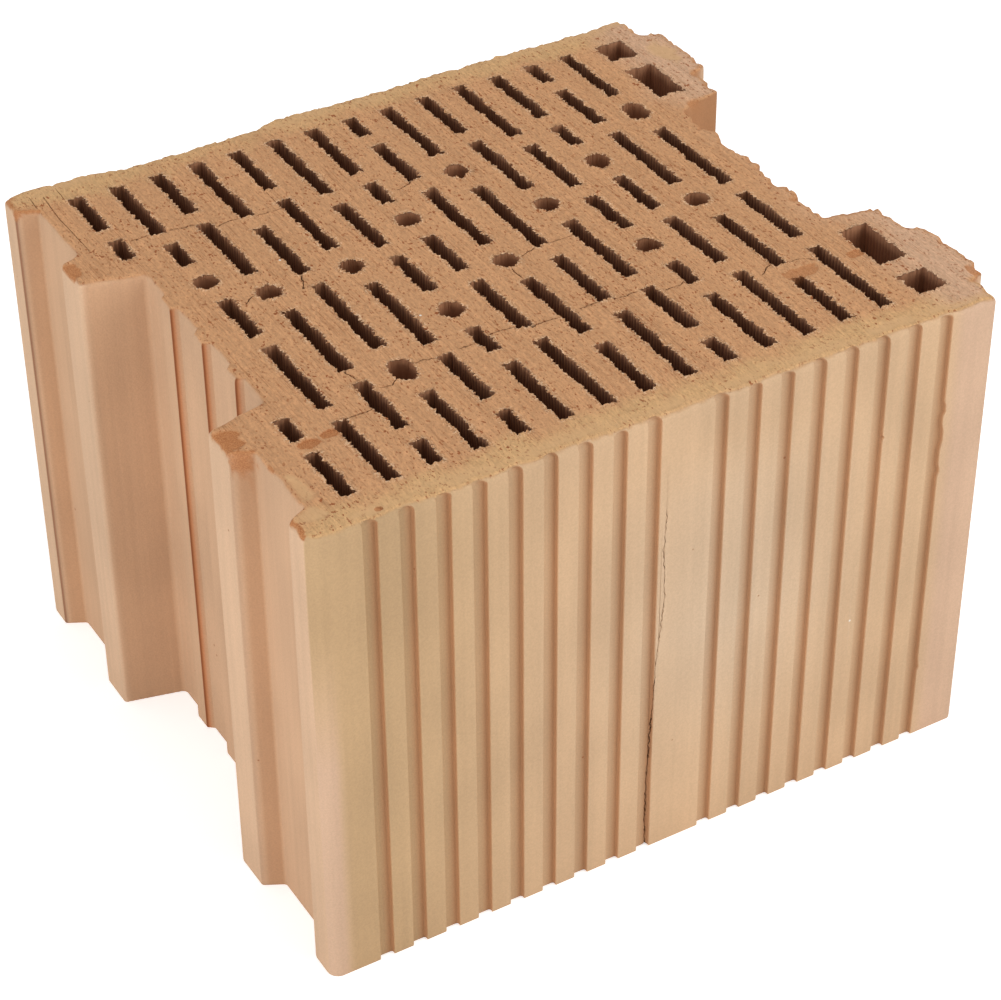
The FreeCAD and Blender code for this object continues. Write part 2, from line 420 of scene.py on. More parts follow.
def top_outlines(node):
    """The closed outlines of the node's top face, with the clay on the left of each."""
    mesh = node.data
    places = np.array([vertex.co for vertex in mesh.vertices]) / METRE
    names = {}
    runs = {}
    for polygon in mesh.polygons:
        corners = [places[index] for index in polygon.vertices]
        if min(corner[2] for corner in corners) < TOP - OUTLINE_TOLERANCE:
            continue
        keys = [tuple(np.round(corner[:2], KEY_DIGITS)) for corner in corners]
        for key in keys:
            names.setdefault(key, len(names))
        for start, end in zip(keys, keys[1:] + keys[:1]):
            runs[names[start], names[end]] = True
    following = {start: end for start, end in runs if (end, start) not in runs}
    flat_places = np.array(list(names))
    outlines = []
    while following:
        loop = [next(iter(following))]
        step = following.pop(loop[0])
        while step != loop[0]:
            loop.append(step)
            step = following.pop(step)
        outlines.append(flat_places[loop])
    return sorted(outlines, key=lambda outline: -np.ptp(outline[:, 0]))


def simplified(outline):
    """The outline without the points that lie within the tolerance of the chord past them."""
    kept = [0]
    for index in range(2, len(outline) + 1):
        start = outline[kept[-1]]
        chord = outline[index % len(outline)] - start
        skipped = outline[kept[-1] + 1 : index] - start
        away = np.abs(skipped[:, 0] * chord[1] - skipped[:, 1] * chord[0])
        if away.max() > OUTLINE_TOLERANCE * np.linalg.norm(chord):
            kept.append(index - 1)
    return outline[kept]


def divided(outline, spacing, corner_gap=0.0):
    """The outline with its runs divided to at most the spacing, and points close to long runs' ends."""
    parts = []
    for start, end in zip(outline, np.roll(outline, -1, axis=0)):
        length = np.linalg.norm(end - start)
        count = max(1, math.ceil(length / spacing))
        steps = np.arange(count) / count
        if corner_gap and length > LONG_RUN_GAPS * corner_gap:
            steps = np.sort(np.append(steps, [corner_gap / length, 1 - corner_gap / length]))
        parts.append(start + steps[:, None] * (end - start))
    return np.concatenate(parts)


def outward(points):
    """Unit normals that point away from the clay, at each point of a closed outline."""
    run = np.roll(points, -1, axis=0) - points
    run /= np.linalg.norm(run, axis=1, keepdims=True)
    mean = run + np.roll(run, 1, axis=0)
    mean /= np.maximum(np.linalg.norm(mean, axis=1, keepdims=True), TINY)
    return np.column_stack([mean[:, 1], -mean[:, 0]])


def run_lengths(points):
    """How far along a closed outline each point lies, and the whole length."""
    steps = np.linalg.norm(np.roll(points, -1, axis=0) - points, axis=1)
    return np.concatenate([[0], np.cumsum(steps)[:-1]]), steps.sum()


def line_distance(places, line, widths):
    """For each place, its distance to the line over the half width there: below 1 is inside."""
    nearest = np.full(len(places), np.inf)
    line = np.asarray(line, float)
    for index in range(len(line) - 1):
        run = line[index + 1] - line[index]
        share = np.clip((places - line[index]) @ run / (run @ run), 0, 1)
        away = np.linalg.norm(places - line[index] - share[:, None] * run, axis=1)
        width = widths[index] + share * (widths[index + 1] - widths[index])
        nearest = np.minimum(nearest, away / width)
    return nearest


class CrackLine:
    """A crack's wandering centre line with its half widths, and the points that draw it."""

    def __init__(self, corners, half_widths, seed, wander=CRACK_WANDER, darkness=1.0):
        corners = np.asarray(corners, float)
        parts = []
        for start, end in zip(corners[:-1], corners[1:]):
            count = max(1, math.ceil(np.linalg.norm(end - start) / CRACK_STEP))
            parts.append(start + np.arange(count)[:, None] / count * (end - start))
        self.line = np.concatenate(parts + [corners[-1:]])
        along = np.linspace(0, 1, len(self.line))
        sideways = outward_of_run(self.line)
        places = np.arange(len(self.line))
        sway = noise(places * CRACK_STEP, CRACK_SWAY_CELLS[0], seed)
        sway += noise(places * CRACK_STEP, CRACK_SWAY_CELLS[1], seed + 1)
        self.line = self.line + wander * sideways * sway[:, None]
        self.darkness = darkness
        self.widths = half_widths[0] + along * (half_widths[1] - half_widths[0])
        self.widths = self.widths * (1 + CRACK_WIDTH_CHANGE * noise(places, CRACK_WIDTH_CELL, seed + 2))
        offset = sideways * self.widths[:, None]
        self.strands = [self.line - offset, self.line, self.line + offset]

    def depth(self, places):
        """How deep the crack is at each place, from 0 to 1."""
        return np.clip(1 - line_distance(places, self.line, self.widths), 0, 1)


def outward_of_run(line):
    """Unit normals of an open line."""
    run = np.gradient(line, axis=0)
    run /= np.linalg.norm(run, axis=1, keepdims=True)
    return np.column_stack([run[:, 1], -run[:, 0]])


def chip_edge_noise(places):
    """How ragged the chips' borders are."""
    return layered(places, CHIP_EDGE_WAVES)


def squared_length(offsets):
    """Lengths by which a rounded square, not a circle, is all at one distance."""
    return np.sum(np.abs(offsets) ** CHIP_SQUARENESS, axis=1) ** (1 / CHIP_SQUARENESS)


def chip_share(places):
    """How orange a chip makes each place on the top, and how deep the chip's leaning facet is there."""
    share = np.zeros(len(places))
    drop = np.zeros(len(places))
    ragged = chip_edge_noise(places)
    rough = layered(places, CHIP_ROUGH_WAVES, 1)
    for centre, reach, deepest, direction, stain in CHIPS:
        offset = (places - np.array(centre)) / np.array(reach)
        inside = 1 - smooth_step(squared_length(offset) + ragged, *CHIP_BORDER)
        lean = np.array(direction) / np.linalg.norm(direction)
        slope = np.clip(CHIP_SLOPE_MIDDLE + CHIP_SLOPE * (offset @ lean), CHIP_SLOPE_LEAST, 1)
        share = np.maximum(share, inside * stain)
        drop = np.maximum(drop, inside * slope * rough * deepest)
    return share, drop


def chip_border_points():
    """Points just inside and just outside each chip's border, which keep it crisp."""
    places = []
    for centre, reach, *_ in CHIPS:
        count = math.ceil(math.tau * max(reach) / CHIP_BORDER_STEP)
        turns = np.arange(count) * math.tau / count
        ring = np.column_stack([np.cos(turns), np.sin(turns)])
        ring = ring / squared_length(ring)[:, None] * np.array(reach)
        ragged = chip_edge_noise(np.array(centre) + ring)
        places += [np.array(centre) + ring * (border - ragged)[:, None] for border in CHIP_BORDER_RINGS]
    return np.concatenate(places)


def plaster_distance(places):
    """How far each place lies from the nearer plaster face."""
    return np.minimum(places[:, 1] - FRONT, BACK - places[:, 1])


def smear_share(places):
    """How smooth and pale the cut face is at each place."""
    share = np.zeros(len(places))
    ragged = layered(places, SMEAR_WAVES)
    for centre, reach in SMEARS:
        away = np.linalg.norm((places - np.array(centre)) / np.array(reach), axis=1)
        share = np.maximum(share, 1 - smooth_step(away + ragged, *SMEAR_BORDER))
    edge = layered(places, STRIP_WAVES, plaster_distance(places))
    return np.maximum(share, STRIP_SMOOTHNESS * (1 - smooth_step(edge, *STRIP_BORDER)))


def pale_share(places):
    """How pale the top is: most at the right end."""
    return smooth_step(layered(places, PALE_WAVES, places[:, 0]), *PALE_BORDER)


def sand_share(places):
    """How yellow and sandy the top is, near the two plaster faces."""
    edge = layered(places, SAND_WAVES, plaster_distance(places))
    return 1 - smooth_step(edge, *SAND_BORDER)


def top_relief(places):
    """How far the wire-cut face stands above or below its plane."""
    return layered(places, TOP_WAVES) - TOP_SINK


class ClayMesh:
    """Points, triangles and marks of the block, gathered before Blender gets them."""

    MARKS = (
        "cut", "rim", "smear", "hollow", "rib", "chip", "crack",
        "lime", "sand", "dust", "blush", "bare_and_shade", "flank_shade", "seam",
    )

    def __init__(self):
        self.places = []
        self.marks = {name: [] for name in self.MARKS}
        self.triangles = []
        self.count = 0

    def add_points(self, places, **marks):
        ids = np.arange(self.count, self.count + len(places))
        self.count += len(places)
        self.places.append(places)
        for name in self.MARKS:
            self.marks[name].append(np.broadcast_to(marks.get(name, 0.0), len(places)))
        return ids

    def add_triangles(self, triangles):
        self.triangles.append(np.asarray(triangles))

    def add_band(self, upper, lower):
        """Joins two closed rows of as many points by triangles that face away from the clay."""
        upper_next = np.roll(upper, -1)
        lower_next = np.roll(lower, -1)
        self.add_triangles(np.column_stack([lower, lower_next, upper_next]))
        self.add_triangles(np.column_stack([lower, upper_next, upper]))

    def object(self, name):
        mesh = bpy.data.meshes.new(name)
        used, triangles = np.unique(np.concatenate(self.triangles), return_inverse=True)
        triangles = triangles.reshape(-1, 3)
        places = np.concatenate(self.places)[used] * METRE
        mesh.vertices.add(len(places))
        mesh.vertices.foreach_set("co", places.astype(np.float32).ravel())
        mesh.loops.add(triangles.size)
        mesh.loops.foreach_set("vertex_index", triangles.astype(np.int32).ravel())
        mesh.polygons.add(len(triangles))
        mesh.polygons.foreach_set("loop_start", np.arange(0, triangles.size, 3, dtype=np.int32))
        for mark, values in self.marks.items():
            attribute = mesh.attributes.new(mark, "FLOAT", "POINT")
            attribute.data.foreach_set("value", np.concatenate(values)[used].astype(np.float32))
        mesh.update()
        mesh.validate()
        mesh.shade_smooth()
        mesh.set_sharp_from_angle(angle=math.radians(SHARP_ANGLE))
        made = bpy.data.objects.new(name, mesh)
        bpy.context.scene.collection.objects.link(made)
        return made


def triangulated(places, edges, ring_of, order_in_ring):
    """Triangles between flat places that keep the edges, without those in the holes or outside.

    New places where edges cross are added after the given ones.
    """
    corners = [Vector(place) for place in places]
    result = geometry.delaunay_2d_cdt(corners, edges, [], WHOLE_HULL, MERGE_DISTANCE)
    made_places, made_faces, origins = result[0], result[2], result[3]
    new_places = []
    ids = np.empty(len(made_places), int)
    for index, origin in enumerate(origins):
        if origin:
            ids[index] = origin[0]
        else:
            ids[index] = len(places) + len(new_places)
            new_places.append(tuple(made_places[index]))
    all_places = np.array(list(map(tuple, places)) + new_places)
    rings = np.concatenate([ring_of, np.full(len(new_places), -1)])
    order = np.concatenate([order_in_ring, np.zeros(len(new_places), int)])
    triangles = ids[np.array(made_faces)]
    same = (rings[triangles] == rings[triangles[:, :1]]).all(axis=1) & (rings[triangles[:, 0]] >= 0)
    sorted_corners = np.take_along_axis(triangles, np.argsort(order[triangles], axis=1), axis=1)
    a, b, c = (all_places[sorted_corners[:, k]] for k in range(3))
    turn = (b[:, 0] - a[:, 0]) * (c[:, 1] - a[:, 1]) - (b[:, 1] - a[:, 1]) * (c[:, 0] - a[:, 0])
    return all_places, triangles[~same | (turn > 0)]


def ring_edges(first, count):
    """Edges that close a run of point numbers into a ring."""
    return [(first + k, first + (k + 1) % count) for k in range(count)]


def jittered_grid(spacing, seed):
    """A staggered grid over the block's plan, each point moved a little."""
    xs = np.arange(LEFT, RIGHT, spacing)
    ys = np.arange(FRONT, BACK, spacing * ROW_RATIO)
    grid_x, grid_y = np.meshgrid(xs, ys)
    grid_x = grid_x + (np.arange(len(ys)) % 2)[:, None] * spacing / 2
    flat = np.column_stack([grid_x.ravel(), grid_y.ravel()])
    shift = np.column_stack([noise(flat, GRID_CELL, seed), noise(flat, GRID_CELL, seed + 1)])
    return flat + GRID_JITTER * spacing * shift


class Clearance:
    """Tells how far inside the clay a flat place lies, from the rings around it."""

    def __init__(self, rings):
        self.places = np.concatenate(rings)
        self.normals = np.concatenate([outward(ring) for ring in rings])
        self.tree = kdtree.KDTree(len(self.places))
        for index, place in enumerate(self.places):
            self.tree.insert((place[0], place[1], 0), index)
        self.tree.balance()

    def inside(self, places, clearance):
        keep = np.zeros(len(places), bool)
        for index, place in enumerate(places):
            _, nearest, away = self.tree.find((place[0], place[1], 0))
            side = (place - self.places[nearest]) @ self.normals[nearest]
            keep[index] = side < 0 and away > clearance
        return keep


def at_right_end(base):
    """Which places belong to the right end, between the two plaster faces."""
    return (base[:, 0] > RIGHT - RIGHT_END_REACH) & (np.abs(base[:, 1]) < BACK - PLASTER_BAND)


def by_side(base, left, front, back, right):
    """A value for each place around the outside, by the side of the block that it belongs to."""
    amount = np.full(len(base), left)
    amount[base[:, 1] < FRONT + PLASTER_BAND] = front
    amount[base[:, 1] > BACK - PLASTER_BAND] = back
    amount[at_right_end(base)] = right
    return amount


class OuterWall:
    """The block's outside as a surface over the distance along the outline and the height."""

    def __init__(self, outline):
        self.points = divided(outline, WALL_SPACING, CORNER_GAP)
        self.normals = outward(self.points)
        self.along, self.length = run_lengths(self.points)
        self.plaster = BACK - np.abs(self.points[:, 1])
        inside = (self.points[:, 0] > LEFT + GROOVE_MARGIN) & (self.points[:, 0] < RIGHT - GROOVE_MARGIN)
        self.grooved = (self.plaster < GROOVE_DEPTH_LIMIT) & inside
        straight = np.column_stack([np.zeros(len(self.points)), np.sign(self.points[:, 1])])
        self.edge_normals = np.where(self.grooved[:, None], straight, self.smoothed_normals())
        self.groove_place = self.places_across_grooves()

    def smoothed_normals(self):
        """Normals averaged over a stretch of the outline, so that points set in along them never cross."""
        total = np.zeros_like(self.normals)
        for offset in np.linspace(-NORMAL_STRETCH, NORMAL_STRETCH, NORMAL_SAMPLES):
            total += self.pair_at((self.along + offset) % self.length, self.normals)
        return total / np.linalg.norm(total, axis=1, keepdims=True)

    def places_across_grooves(self):
        """Where each point lies across its groove, from -1 at the left wall to 1 at the right one."""
        found = np.zeros(len(self.points))
        in_groove = self.grooved & (self.plaster > GROOVE_START)
        numbers = np.cumsum(~in_groove)
        for number in np.unique(numbers[in_groove]):
            members = np.flatnonzero(in_groove & (numbers == number))
            x = self.points[members, 0]
            middle = (x.min() + x.max()) / 2
            found[members] = (x - middle) / max((x.max() - x.min()) / 2, GROOVE_LEAST)
        return found

    def at(self, along, values):
        """Values given at the outline's points, at distances along it."""
        knots = np.append(self.along, self.length)
        return np.interp(along, knots, np.append(values, values[:1]))

    def pair_at(self, along, pairs):
        """The same for pairs of values."""
        return np.column_stack([self.at(along, pairs[:, k]) for k in range(2)])

    def along_front(self, x):
        """Distance along the outline of a place x on the front face."""
        front = self.points[:, 1] < FRONT + GROOVE_DEPTH_LIMIT
        order = np.argsort(self.points[front, 0], kind="stable")
        return np.interp(x, self.points[front, 0][order], self.along[front][order])

    def surface(self, along, height):
        """Places in space, marks and normals, for distances along the outline and heights."""
        base = self.pair_at(along, self.points)
        normal = self.pair_at(along, self.normals)
        edge_normal = self.pair_at(along, self.edge_normals)
        depth = TOP - height
        groove = self.at(along, np.where(self.grooved, self.plaster, 0.0))
        smear = self.groove_smear(along, base, depth)
        base[:, 1] += np.sign(base[:, 1]) * groove * smear
        base[:, 0] += self.nicked(base, height)
        ragged = by_side(base, **EDGE_RAGGEDNESS)
        tear = layered(along, TEAR_WAVES, TEAR_MEAN)
        inset = self.edge_inset(along, base, depth, ragged * np.clip(tear, *TEAR_LIMITS))
        inset += FOOT_INSET * np.clip(1 - height / FOOT_HEIGHT, 0, 1) ** 2
        swell = layered(np.column_stack([along, height]), SWELL_WAVES)
        places = base + normal * swell[:, None] - edge_normal * inset[:, None]
        chip, drop = chip_share(places)
        chip_end = layered(along, CHIP_END_WAVES, CHIP_END)
        chip = chip * (1 - smooth_step(depth, chip_end, chip_end + CHIP_FADE))
        chip = np.maximum(chip, self.crumbled(along, base, depth))
        broken = np.clip(BROKEN_RIM_SHARE * tear, 0, BROKEN_RIM_MOST) * np.exp(-depth / BROKEN_RIM_DEPTH)
        cut_end = layered(along, CUT_END_WAVES, CUT_END)
        marks = self.tints(along, base, normal, groove * (1 - smear), height)
        marks["chip"] = np.maximum(chip, np.where(at_right_end(base), broken, 0))
        marks["cut"] = 1 - smooth_step(depth, CUT_START, cut_end + CUT_FADE)
        marks["sand"] = np.maximum(marks["sand"], marks["cut"] * sand_share(places))
        relief = top_relief(places) - drop - TEAR_DROP * ragged * np.clip(tear, 0, TEAR_DROP_MOST)
        height = height + smooth_step(height, TOP - RELIEF_REACH, TOP) * relief
        return np.column_stack([places, height]), marks, normal

    def nicked(self, base, height):
        """How far nicks move the edges of the front grooves to the right."""
        shift = np.zeros(len(base))
        ragged = layered(height, NICK_WAVES, height)
        on_front = base[:, 1] < FRONT + GROOVE_DEPTH_LIMIT
        for nick in FRONT_NICKS:
            across = 1 - smooth_step(np.abs(base[:, 0] - nick["edge"]), NICK_CORE * NICK_WIDTH, NICK_WIDTH)
            start, end = (share * nick["reach"] for share in NICK_BORDER)
            upward = 1 - smooth_step(np.abs(ragged - nick["height"]), start, end)
            shift += nick["shift"] * across * upward * on_front
        return shift

    def crumbled(self, along, base, depth):
        """How crumbled the top of the walls is."""
        share = np.zeros(len(base))
        ragged = layered(np.column_stack([along, depth]), CRUMBLED_WAVES)
        for spot in CRUMBLED:
            away = np.linalg.norm(base - np.array(spot["centre"]), axis=1) / spot["reach"]
            radius = np.hypot(away, depth / spot["depth"])
            share = np.maximum(share, CRUMBLED_STAIN * (1 - smooth_step(radius + ragged, *CRUMBLED_BORDER)))
        return share

    def shaded_flanks(self, base, normal):
        """Painted shade on the left end's front-facing flanks, darkest at their edges, and the painted
        shadow line along their edges.
        """
        flank_shade = np.zeros(len(base))
        seam = np.zeros(len(base))
        facing = smooth_step(-normal[:, 1], *SHADED_FLANK_TURN) * (base[:, 0] < 0)
        for flank in SHADED_FLANKS:
            low, high = flank["between"]
            members = (self.points[:, 1] > low) & (self.points[:, 1] < high) & (self.points[:, 0] < 0)
            edge = self.points[members, 0].min()
            foot = self.points[members, 0].max()
            here = facing * (base[:, 1] > low) * (base[:, 1] < high)
            from_edge = base[:, 0] - edge
            start, end = (share * (foot - edge) for share in SHADED_FLANK_BORDER)
            flank_shade += here * flank["flank_shade"] * (1 - smooth_step(from_edge, start, end))
            seam += here * flank["seam"] * (1 - smooth_step(from_edge, EDGE_SHADOW_START, flank["edge_shadow_reach"]))
        return flank_shade, seam

    def groove_smear(self, along, base, depth):
        """How far the grooves are smeared shut: wholly at the top, under a round end, and not below it."""
        across = np.clip(self.at(along, self.groove_place), -1, 1)
        arch = SMEAR_ARCH * (1 - np.sqrt(1 - across**2))
        smear_end = layered(base[:, 0], GROOVE_END_WAVES, SMEAR_HEIGHT + arch)
        return 1 - smooth_step(depth, smear_end, smear_end + SMEAR_FADE)

    def edge_inset(self, along, base, depth, tear):
        """How far the worn and torn top edge is set in, with the long dent of the back edge."""
        rounding = by_side(base, **EDGE_ROUNDING) * layered(along, ROUNDING_WAVES, 1)
        inset = rounding * np.clip(1 - depth / (ROUNDING_DEPTH * rounding), 0, 1) ** 2
        inset += tear * np.exp(-depth / TEAR_DEPTH)
        from_left = smooth_step(base[:, 0], *BACK_DENT["start"])
        to_right = 1 - smooth_step(base[:, 0], *BACK_DENT["end"])
        at_back = base[:, 1] > BACK - PLASTER_BAND
        dent = BACK_DENT["inset"] * at_back * from_left * to_right * np.exp(-depth / BACK_DENT["depth"])
        return inset + dent

    def tints(self, along, base, normal, groove, height):
        """Where the sides are yellow, dusty or pink, with painted shade in the grooves, on the left end's
        flanks and, with bare clay, in the end recesses.
        """
        x, y = base.T
        on_front = y < FRONT + PLASTER_BAND
        dust = on_front * np.exp(-(((x - DUST_MIDDLE) / DUST_REACH) ** 2)) * smooth_step(height, *DUST_RISE)
        dust *= 1 - DUST_FALL_SHARE * smooth_step(height, *DUST_FALL)
        sand = on_front * (1 - smooth_step(x, *SAND_FADE))
        corner = on_front * (1 - smooth_step(x, *PINK_ACROSS)) * (1 - smooth_step(height, *PINK_UP))
        sand *= 1 - corner
        at_end = np.abs(y) < BACK - PLASTER_BAND
        recess = np.where(x < 0, x - LEFT, RIGHT - x)
        # Painted shade in the grooves, growing towards each groove's right wall.
        shaded = smooth_step(self.at(along, self.groove_place), *GROOVE_SHADE)
        shaded *= np.clip(groove / GROOVE_SHADE_DEPTH, 0, 1)
        painted_groove_shade = (GROOVE_PAINTED_SHADE - GROOVE_PAINTED_SHADE_FALL * smooth_step(x, *GROOVE_PAINTED_SHADE_FADE)) * shaded
        # Bare clay with painted shade in the end recesses, more on flanks that face front or back.
        flank = smooth_step(np.abs(normal[:, 1]), *FLANK_TURN)
        flank_bare_and_shade = np.where(np.abs(y) > OUTER_FLANK_START, OUTER_FLANK_BARE_AND_SHADE, INNER_FLANK_BARE_AND_SHADE)
        left_bare_and_shade = (LEFT_BARE_AND_SHADE + (flank_bare_and_shade - LEFT_BARE_AND_SHADE) * flank) * smooth_step(recess, *LEFT_RECESS)
        end_bare_and_shade = np.where(x < 0, left_bare_and_shade, smooth_step(recess, *RIGHT_RECESS))
        bare_and_shade = np.where(at_end, end_bare_and_shade, painted_groove_shade)
        front_blush = np.maximum(smooth_step(x, *RIGHT_BLUSH) * on_front, corner)
        blush = np.where(at_end, END_BLUSH, front_blush)
        # Painted shade on the left end's flanks and the seam mark's painted shadow line along their edges.
        flank_shade, seam = self.shaded_flanks(base, normal)
        return {"dust": dust, "sand": sand, "bare_and_shade": bare_and_shade, "blush": blush, "flank_shade": flank_shade, "seam": seam}


def nick_points(wall, heights):
    """Points that draw the nicks, on the wall's columns beside each nicked edge and between its rows."""
    places = []
    on_front = wall.points[:, 1] < FRONT + GROOVE_DEPTH_LIMIT
    for nick in FRONT_NICKS:
        near = on_front & (np.abs(wall.points[:, 0] - nick["edge"]) < NICK_WIDTH)
        steps = nick["height"] + np.arange(-nick["reach"], nick["reach"], NICK_SPACING)
        between_rows = np.abs(steps[:, None] - heights).min(axis=1) > ROW_CLEARANCE
        along, height = np.meshgrid(wall.along[near], steps[between_rows])
        places.append(np.column_stack([along.ravel(), height.ravel()]))
    return np.concatenate(places)


def add_outer_wall(mesh, wall, crack):
    """Builds the outside with its long crack, and returns its top and bottom rows with their places."""
    heights = TOP - np.array(WALL_ROWS, float) * TOP / WALL_ROWS[-1]
    columns = np.append(wall.along, wall.length)
    grid_along, grid_height = np.meshgrid(columns, heights)
    flat = np.column_stack([grid_along.ravel(), grid_height.ravel()])
    width = len(columns)
    edges = []
    for row in range(len(heights)):
        if row in (0, len(heights) - 1):
            edges += [(row * width + k, row * width + k + 1) for k in range(width - 1)]
        if row:
            edges += [(row * width + k, (row - 1) * width + k) for k in range(width)]
    strands = []
    for strand in crack.strands:
        inside = strand[strand[:, 1] > ROW_CLEARANCE]
        first = len(flat) + sum(len(s) for s in strands)
        edges += [(first + k, first + k + 1) for k in range(len(inside) - 1)]
        strands.append(inside)
    specks = [(wall.along_front(x), z) for x, z in FRONT_SPECKS]
    first = len(flat) + sum(len(s) for s in strands)
    for number in range(len(specks)):
        edges += ring_edges(first + (number + 1) * SPECK_POINTS - SPECK_SIDES, SPECK_SIDES)
    flat = np.concatenate([flat] + strands + [speck_points(specks), nick_points(wall, heights)])
    nothing = np.full(len(flat), -1)
    flat, triangles = triangulated(flat, edges, nothing, nothing)
    places, marks, normal = wall.surface(flat[:, 0], flat[:, 1])
    opened = crack.depth(flat)
    places[:, :2] -= normal * (FRONT_CRACK_DEPTH * opened)[:, None]
    ids = mesh.add_points(places, crack=crack.darkness * opened, lime=speck_share(flat, specks), **marks)
    seam = np.arange(len(ids))
    seam[np.arange(len(heights)) * width + width - 1] = np.arange(len(heights)) * width
    mesh.add_triangles(ids[seam[triangles]])
    last = (len(heights) - 1) * width
    top_row = np.arange(width - 1)
    bottom_row = np.arange(last, last + width - 1)
    return [(ids[row], places[row, :2]) for row in (top_row, bottom_row)]


def hole_points(outline):
    """A hole's plain outline, and its comb: how far each point stands in, and its stripe from 0 to 1."""
    points = divided(simplified(outline), HOLE_SPACING)
    across = np.ptp(points[:, 0])
    kind = SLOT_COMB if across < SLOT_LIMIT else GRIP_COMB if across > GRIP_LIMIT else ROUND_COMB
    on_rib = np.arange(len(points)) % POINTS_PER_RIB == 0
    gap_share, rib_share = kind["shares"]
    gap_stripe, rib_stripe = kind["stripes"]
    comb = kind["depth"] * np.where(on_rib, rib_share, gap_share)
    return points, comb, np.where(on_rib, rib_stripe, gap_stripe)


def calm_at_corners(points):
    """From 0 at an outline's sharp corners to 1 away from them."""
    run = np.roll(points, -1, axis=0) - points
    run /= np.linalg.norm(run, axis=1, keepdims=True)
    turn = np.sum(run * np.roll(run, 1, axis=0), axis=1)
    corners = points[turn < CORNER_TURN]
    if not len(corners):
        return np.ones(len(points))
    away = np.linalg.norm(points[:, None] - corners[None], axis=2).min(axis=1)
    return smooth_step(away, 0, CORNER_CALM)


def add_hole(mesh, outline, number):
    """Builds one hole's wall, and returns its top and bottom rows with their places."""
    points, comb, stripe = hole_points(outline)
    normals = outward(points)
    calm = calm_at_corners(points)
    along, _ = run_lengths(points)
    wave_place = np.column_stack([along, np.full(len(along), HOLE_APART * number)])
    cell = np.column_stack([np.arange(len(points)), np.full(len(points), number)])
    chance = TOOTH_MEAN + TOOTH_CHANCE * lattice_value(cell, TOOTH_CHANCE_SEED)
    far_side = normals[:, 0] < FAR_SIDE_TURN
    reach = np.where(far_side, LONG_TOOTH_REACH, TOOTH_REACH)
    tooth = reach * np.clip(layered(wave_place, TOOTH_WAVES, chance), *TOOTH_LIMITS)
    tooth = calm * layered(wave_place, RIM_WAVES, tooth)
    # Painted light on the end walls that face the front.
    lit = END_WALL_LIT * smooth_step(-normals[:, 1], *END_WALL_TURN)
    stripe = stripe + (1 - stripe) * lit
    comb = calm * comb
    comb_open = np.where(far_side, FAR_COMB_OPEN, NEAR_COMB_OPEN)
    comb_open = np.clip(layered(wave_place, OPEN_COMB_WAVES, comb_open), 0, OPEN_COMB_MOST)
    lip = LIP_RISE * layered(wave_place, LIP_WAVES, LIP_MEAN)
    rows = []
    for depth, hollow, stripe_share in HOLE_ROWS:
        torn = math.exp(-depth / TORN_DEPTH) + TORN_BELOW * math.exp(-(TOP - depth) / TORN_DEPTH)
        place = points + normals * (tooth * torn + comb * (1 + torn * (comb_open - 1)))[:, None]
        chip, drop = chip_share(place)
        height = np.full(len(points), TOP - depth)
        relief = math.exp(-depth / RIM_RELIEF_DEPTH) * (top_relief(place) - drop)
        height += relief + math.exp(-depth / LIP_DEPTH) * lip
        if depth == TOP:
            height[:] = 0
        ids = mesh.add_points(
            np.column_stack([place, height]),
            hollow=hollow,
            cut=1 - hollow,
            rim=float(depth == 0),
            rib=stripe * np.maximum(stripe_share, lit),
            chip=chip * (depth < HOLE_CHIP_DEPTH),
            sand=sand_share(place),
            dust=pale_share(place),
        )
        rows.append((ids, place))
    for (upper, _), (lower, _) in zip(rows, rows[1:]):
        mesh.add_band(upper, lower)
    return rows[0], rows[-1]


def add_face(mesh, rings, inner, edges, height_at, marks_at, upward):
    """Fills a flat face between the rings of known points with triangles over the inner places."""
    ring_ids = np.concatenate([ids for ids, _ in rings])
    ring_places = np.concatenate([places for _, places in rings])
    ring_of = np.concatenate([np.full(len(ids), number) for number, (ids, _) in enumerate(rings)])
    order = np.concatenate([np.arange(len(ids)) for ids, _ in rings])
    all_edges = []
    first = 0
    for ids, _ in rings:
        all_edges += ring_edges(first, len(ids))
        first += len(ids)
    all_edges += [(first + start, first + end) for start, end in edges]
    flat = np.concatenate([ring_places, inner])
    ring_of = np.concatenate([ring_of, np.full(len(inner), -1)])
    order = np.concatenate([order, np.zeros(len(inner), int)])
    flat, triangles = triangulated(flat, all_edges, ring_of, order)
    added = flat[len(ring_ids) :]
    added_ids = mesh.add_points(np.column_stack([added, height_at(added)]), **marks_at(added))
    ids = np.concatenate([ring_ids, added_ids])
    triangles = ids[triangles]
    mesh.add_triangles(triangles if upward else triangles[:, ::-1])


def strand_points(cracks, clearance):
    """The points and edges that draw the cracks on the top, where they lie in the clay."""
    points = []
    edges = []
    for crack in cracks:
        for strand in crack.strands:
            keep = clearance.inside(strand, EDGE_CLEARANCE)
            numbers = np.cumsum(keep) - 1 + len(points)
            joined = np.flatnonzero(keep[:-1] & keep[1:])
            edges += [(numbers[k], numbers[k + 1]) for k in joined]
            points += list(strand[keep])
    return np.array(points), edges


def speck_points(specks):
    """Points that draw each lime speck: its middle, then its rings."""
    turns = np.arange(SPECK_SIDES) * math.tau / SPECK_SIDES
    ring = np.column_stack([np.cos(turns), np.sin(turns)])
    places = []
    for speck in specks:
        places.append(np.array([speck]))
        places += [np.array(speck) + share * SPECK_RADIUS * ring for share in SPECK_RINGS]
    return np.concatenate(places)


def speck_share(places, specks):
    """How white lime specks make each place."""
    share = np.zeros(len(places))
    for speck in specks:
        away = np.linalg.norm(places - np.array(speck), axis=1)
        share = np.maximum(share, np.clip((SPECK_RADIUS - away) / (SPECK_FADE * SPECK_RADIUS), 0, 1))
    return share


